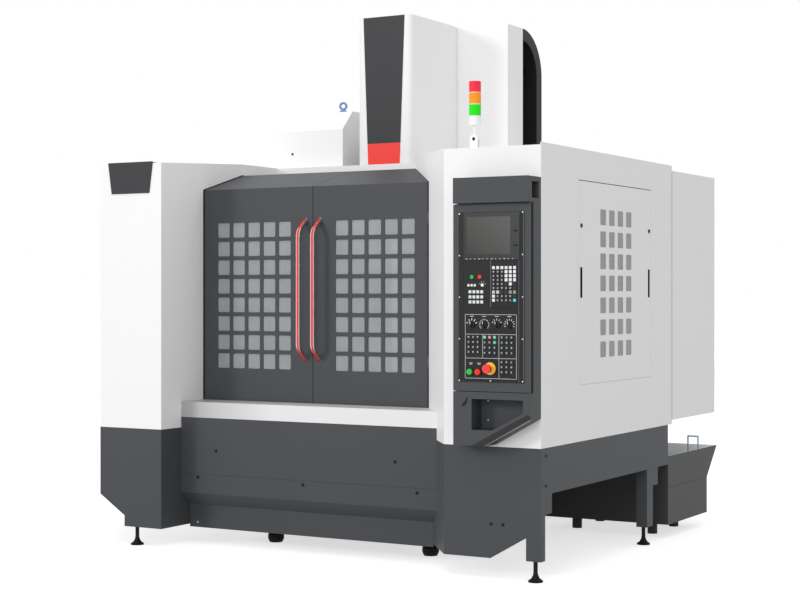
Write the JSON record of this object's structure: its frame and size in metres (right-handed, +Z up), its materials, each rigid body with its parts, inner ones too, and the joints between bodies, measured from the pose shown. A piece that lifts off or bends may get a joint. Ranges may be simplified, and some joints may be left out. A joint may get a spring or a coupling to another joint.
{
  "type": "cnc machining center",
  "caption": "Vertical machining center in a sheet-metal enclosure with sliding doors, moving table, spindle head, tool changer and hinged operator panel.",
  "frame": {"origin": "on the floor, at the middle of the machine's plan", "axes": "+X to the operator's right, +Y to the rear, +Z up"},
  "size_m": [3.2325, 2.811, 3.141],
  "materials": {
    "white_paint": "satin powder coat",
    "dark_paint": "fine-texture powder coat",
    "red_paint": "satin paint",
    "blue_paint": "gloss paint",
    "black_iron": "painted casting",
    "grey_iron": "machined casting",
    "ground_steel": "ground",
    "splash_steel": "sheet",
    "chrome_tube": "polished",
    "window": "clear sheet",
    "panel_black": "matt film",
    "screen": "dark display",
    "key_white": "moulded",
    "knob_grey": "moulded",
    "red_plastic": "moulded",
    "green_plastic": "moulded",
    "light_plastic": "moulded lens",
    "motor_paint": "satin paint"
  },
  "bodies": {
    "machine_base": {"bed_casting": "black_iron", "leveling_feet": "black_iron", "column_casting": "grey_iron", "guide_rails": "ground_steel", "ballscrews": "ground_steel", "left_cabinet": "white_paint", "left_side_panel": "white_paint", "left_skirt": "dark_paint", "front_lower_panel": "dark_paint", "front_sill": "white_paint", "door_rails": "ground_steel", "right_cabinet": "white_paint", "right_lower_cabinet": "dark_paint", "right_side_panel": "white_paint", "right_skirt": "dark_paint", "roof_rim": "white_paint", "splash_panels": "splash_steel", "column_shroud": "white_paint", "cable_hood": "dark_paint", "magazine_cover": "white_paint", "magazine_frame": "grey_iron", "electrical_cabinet": "white_paint", "coolant_tank": "dark_paint", "tank_handle": "blue_paint", "control_housing": "dark_paint", "pocket_housing": "dark_paint", "tower_bracket": "white_paint", "side_access_panel": "white_paint", "side_window": "window"},
    "cabinet_door": {"cabinet_door": "white_paint"},
    "left_door": {"left_door": "dark_paint", "left_door_window": "window", "left_door_handle": "chrome_tube"},
    "right_door": {"right_door": "dark_paint", "right_door_window": "window", "right_door_handle": "chrome_tube"},
    "saddle": {"saddle": "grey_iron", "x_guide_rails": "ground_steel", "x_ballscrew": "ground_steel"},
    "table": {"table": "grey_iron"},
    "head": {"head_casting": "grey_iron", "head_cover": "white_paint", "head_front_panel": "dark_paint", "head_accent": "red_paint", "spindle_motor": "motor_paint"},
    "spindle": {"spindle": "ground_steel"},
    "tool_disc": {"tool_disc": "grey_iron"},
    "changer_arm": {"changer_arm": "ground_steel"},
    "panel_door": {"panel_door": "dark_paint", "panel_face": "panel_black", "display_screen": "screen", "panel_keys": "key_white"},
    "mode_knob": {"mode_knob": "knob_grey"},
    "feed_knob": {"feed_knob": "knob_grey"},
    "rapid_knob": {"rapid_knob": "knob_grey"},
    "spindle_knob": {"spindle_knob": "knob_grey"},
    "estop_button": {"estop_button": "red_plastic"},
    "start_button": {"start_button": "green_plastic"},
    "hold_button": {"hold_button": "red_plastic"},
    "tower_lights": {"tower_lights": "light_plastic"}
  },
  "joints": [
    {"name": "left_door_slide", "type": "slide", "parent": "machine_base", "child": "left_door", "axis": [-1, 0, 0], "range_m": [0, 0.69]},
    {"name": "right_door_slide", "type": "slide", "parent": "machine_base", "child": "right_door", "axis": [1, 0, 0], "range_m": [0, 0.69]},
    {"name": "y_axis", "type": "slide", "parent": "machine_base", "child": "saddle", "axis": [0, 1, 0], "range_m": [-0.33, 0.33]},
    {"name": "x_axis", "type": "slide", "parent": "saddle", "child": "table", "axis": [1, 0, 0], "range_m": [-0.65, 0.65]},
    {"name": "z_axis", "type": "slide", "parent": "machine_base", "child": "head", "axis": [0, 0, 1], "range_m": [-0.7, 0]},
    {"name": "spindle_turn", "type": "hinge", "parent": "head", "child": "spindle", "pos_m": [0, 0.165, 1.8], "axis": [0, 0, 1], "continuous": true},
    {"name": "tool_disc_turn", "type": "hinge", "parent": "machine_base", "child": "tool_disc", "pos_m": [-0.73, 0.505, 2.15], "axis": [1, 0, 0], "continuous": true},
    {"name": "changer_arm_swing", "type": "hinge", "parent": "machine_base", "child": "changer_arm", "pos_m": [-0.32, 0.335, 1.69], "axis": [0, 0, 1], "range_deg": [0, 242]},
    {"name": "panel_door_hinge", "type": "hinge", "parent": "machine_base", "child": "panel_door", "pos_m": [1.189, -1.336, 1.43], "axis": [0, 0, 1], "range_deg": [-95, 0]},
    {"name": "cabinet_door_hinge", "type": "hinge", "parent": "machine_base", "child": "cabinet_door", "pos_m": [1.603, 1.376, 1.44], "axis": [0, 0, 1], "range_deg": [-110, 0]},
    {"name": "tower_fold", "type": "hinge", "parent": "machine_base", "child": "tower_lights", "pos_m": [1.155, -1.063, 2.257], "axis": [0, 1, 0], "range_deg": [0, 90]},
    {"name": "mode_knob_turn", "type": "hinge", "parent": "panel_door", "child": "mode_knob", "pos_m": [1.289, -1.359, 1.295], "axis": [0, -1, 0], "range_deg": [-105, 105]},
    {"name": "feed_knob_turn", "type": "hinge", "parent": "panel_door", "child": "feed_knob", "pos_m": [1.359, -1.359, 1.295], "axis": [0, -1, 0], "range_deg": [-135, 135]},
    {"name": "rapid_knob_turn", "type": "hinge", "parent": "panel_door", "child": "rapid_knob", "pos_m": [1.429, -1.359, 1.295], "axis": [0, -1, 0], "range_deg": [-45, 45]},
    {"name": "spindle_knob_turn", "type": "hinge", "parent": "panel_door", "child": "spindle_knob", "pos_m": [1.499, -1.359, 1.295], "axis": [0, -1, 0], "range_deg": [-105, 105]},
    {"name": "estop_button_push", "type": "slide", "parent": "panel_door", "child": "estop_button", "axis": [0, 1, 0], "range_m": [0, 0.003], "stiffness_N_per_m": 900},
    {"name": "start_button_push", "type": "slide", "parent": "panel_door", "child": "start_button", "axis": [0, 1, 0], "range_m": [0, 0.003], "stiffness_N_per_m": 900},
    {"name": "hold_button_push", "type": "slide", "parent": "panel_door", "child": "hold_button", "axis": [0, 1, 0], "range_m": [0, 0.003], "stiffness_N_per_m": 900}
  ]
}
